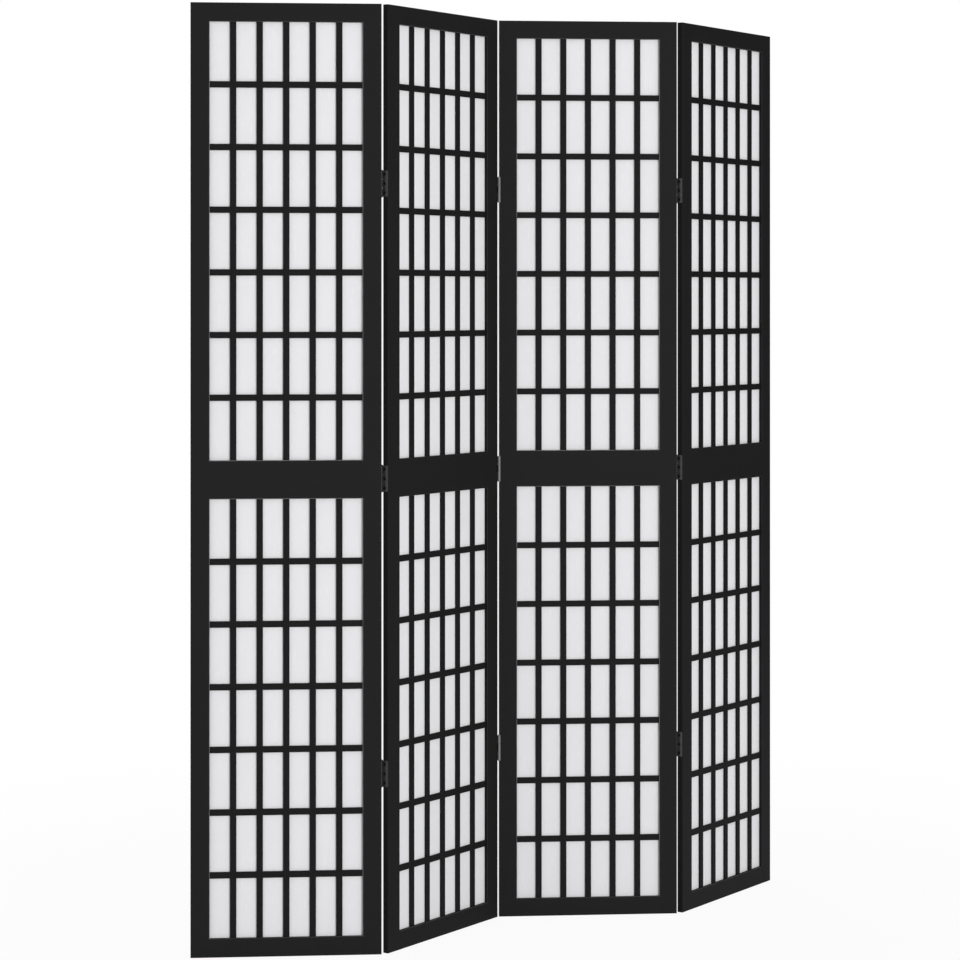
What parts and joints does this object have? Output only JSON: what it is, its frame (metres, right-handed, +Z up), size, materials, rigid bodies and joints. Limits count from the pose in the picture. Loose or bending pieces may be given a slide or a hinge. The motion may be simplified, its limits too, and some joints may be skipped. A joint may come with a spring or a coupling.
{
  "type": "shoji folding screen",
  "caption": "Free-standing shoji folding screen of tall black painted wooden panels with white paper panes behind a lattice, hinged in a zigzag.",
  "frame": {"origin": "on the floor, at the centre of the standing screen's outline", "axes": "+Z up; the screen runs along X and its front, where the lattices stand before the panes, faces -Y"},
  "size_m": [1.3364, 0.1632, 1.8],
  "materials": {
    "black_paint": "satin black paint on wood",
    "shoji_paper": "matt white fibrous paper",
    "hinge_steel": "dark satin steel"
  },
  "bodies": {
    "panel_1": {"panel_1_left_stile": "black_paint", "panel_1_right_stile": "black_paint", "panel_1_top_rail": "black_paint", "panel_1_middle_rail": "black_paint", "panel_1_bottom_rail": "black_paint", "panel_1_upper_lattice": "black_paint", "panel_1_lower_lattice": "black_paint", "panel_1_upper_pane": "shoji_paper", "panel_1_lower_pane": "shoji_paper", "fold_1_top_hinge_pin_leaf": "hinge_steel", "fold_1_middle_hinge_pin_leaf": "hinge_steel", "fold_1_bottom_hinge_pin_leaf": "hinge_steel"},
    "panel_2": {"panel_2_left_stile": "black_paint", "panel_2_right_stile": "black_paint", "panel_2_top_rail": "black_paint", "panel_2_middle_rail": "black_paint", "panel_2_bottom_rail": "black_paint", "panel_2_upper_lattice": "black_paint", "panel_2_lower_lattice": "black_paint", "panel_2_upper_pane": "shoji_paper", "panel_2_lower_pane": "shoji_paper", "fold_1_top_hinge_plain_leaf": "hinge_steel", "fold_1_middle_hinge_plain_leaf": "hinge_steel", "fold_1_bottom_hinge_plain_leaf": "hinge_steel", "fold_2_top_hinge_plain_leaf": "hinge_steel", "fold_2_middle_hinge_plain_leaf": "hinge_steel", "fold_2_bottom_hinge_plain_leaf": "hinge_steel"},
    "panel_3": {"panel_3_left_stile": "black_paint", "panel_3_right_stile": "black_paint", "panel_3_top_rail": "black_paint", "panel_3_middle_rail": "black_paint", "panel_3_bottom_rail": "black_paint", "panel_3_upper_lattice": "black_paint", "panel_3_lower_lattice": "black_paint", "panel_3_upper_pane": "shoji_paper", "panel_3_lower_pane": "shoji_paper", "fold_2_top_hinge_pin_leaf": "hinge_steel", "fold_2_middle_hinge_pin_leaf": "hinge_steel", "fold_2_bottom_hinge_pin_leaf": "hinge_steel", "fold_3_top_hinge_pin_leaf": "hinge_steel", "fold_3_middle_hinge_pin_leaf": "hinge_steel", "fold_3_bottom_hinge_pin_leaf": "hinge_steel"},
    "panel_4": {"panel_4_left_stile": "black_paint", "panel_4_right_stile": "black_paint", "panel_4_top_rail": "black_paint", "panel_4_middle_rail": "black_paint", "panel_4_bottom_rail": "black_paint", "panel_4_upper_lattice": "black_paint", "panel_4_lower_lattice": "black_paint", "panel_4_upper_pane": "shoji_paper", "panel_4_lower_pane": "shoji_paper", "fold_3_top_hinge_plain_leaf": "hinge_steel", "fold_3_middle_hinge_plain_leaf": "hinge_steel", "fold_3_bottom_hinge_plain_leaf": "hinge_steel"}
  },
  "joints": [
    {"name": "fold_1", "type": "hinge", "parent": "panel_2", "child": "panel_1", "pos_m": [-0.33512, -0.06765, 0.9], "axis": [0, 0, -1], "range_deg": [-50, 130]},
    {"name": "fold_2", "type": "hinge", "parent": "panel_2", "child": "panel_3", "pos_m": [0, 0.06765, 0.9], "axis": [0, 0, -1], "range_deg": [-50, 130]},
    {"name": "fold_3", "type": "hinge", "parent": "panel_3", "child": "panel_4", "pos_m": [0.33512, -0.06765, 0.9], "axis": [0, 0, 1], "range_deg": [-50, 130]}
  ]
}
